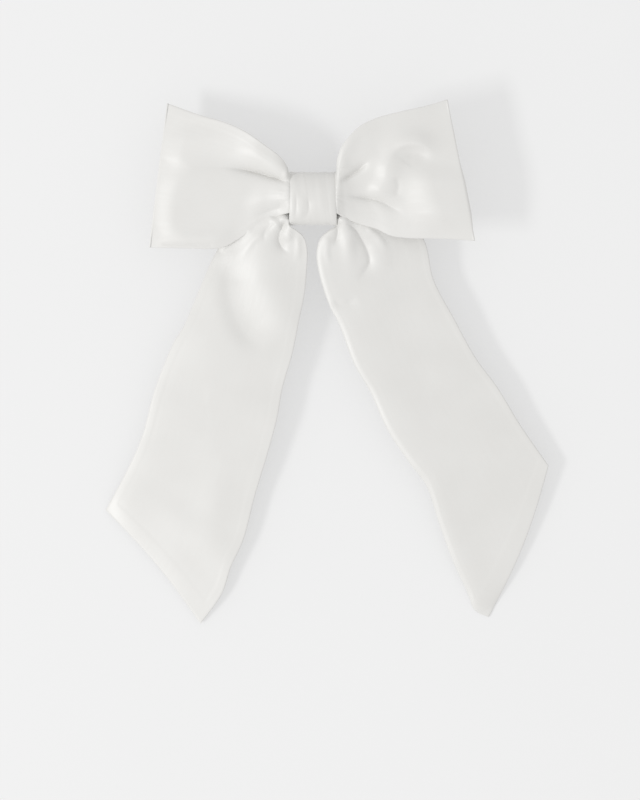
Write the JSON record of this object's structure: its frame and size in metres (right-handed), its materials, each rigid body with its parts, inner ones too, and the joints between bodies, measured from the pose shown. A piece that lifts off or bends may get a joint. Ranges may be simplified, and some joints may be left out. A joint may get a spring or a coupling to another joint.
{
  "type": "hair bow",
  "caption": "Ivory satin hair bow with two loops, two long slanted tails and a pleated knot, on an arched metal barrette with a hinged clasp arm and a squeeze catch.",
  "frame": {"origin": "middle of the flat underside of the closed clasp arm, below the knot, which the bow rests on", "axes": "+Z out of the bow's front, +Y towards its top (the tails hang to -Y), +X to the right as the bow is looked at, along the barrette"},
  "size_m": [0.1945, 0.2293, 0.0275],
  "materials": {
    "satin": "satin",
    "thread": "matte",
    "felt": "matte",
    "plated_steel": "satin",
    "spring_steel": "satin"
  },
  "bodies": {
    "bow": {"left_loop": "satin", "right_loop": "satin", "left_tail": "satin", "right_tail": "satin", "knot_band": "satin", "gather_thread": "thread", "backing_pad": "felt", "stitch_left": "thread", "stitch_right": "thread", "base_plate": "plated_steel", "hinge_pin": "plated_steel", "catch_base": "plated_steel", "catch_rivet": "plated_steel"},
    "clasp_arm": {"clasp_arm": "plated_steel"},
    "tension_bar": {"tension_bar": "spring_steel"},
    "catch_tab_front": {"catch_tab_front": "spring_steel"},
    "catch_tab_back": {"catch_tab_back": "spring_steel"}
  },
  "joints": [
    {"name": "clasp_hinge", "type": "hinge", "parent": "bow", "child": "clasp_arm", "pos_m": [-0.0366, 0, 0.0029], "axis": [0, 1, 0], "range_deg": [0, 75]},
    {"name": "tension_bar_hinge", "type": "hinge", "parent": "bow", "child": "tension_bar", "pos_m": [-0.0366, 0, 0.0029], "axis": [0, 1, 0], "range_deg": [0, 18]},
    {"name": "catch_tab_front_bend", "type": "hinge", "parent": "bow", "child": "catch_tab_front", "pos_m": [0.036, 0.00175, 0.0045], "axis": [-1, 0, 0], "range_deg": [0, 9], "stiffness_Nm_per_rad": 0.02},
    {"name": "catch_tab_back_bend", "type": "hinge", "parent": "bow", "child": "catch_tab_back", "pos_m": [0.036, -0.00175, 0.0045], "axis": [1, 0, 0], "range_deg": [0, 9], "stiffness_Nm_per_rad": 0.02}
  ],
  "couplings": [
    {"joint": "tension_bar_hinge", "follows": "clasp_hinge", "ratio": 0.24}
  ]
}
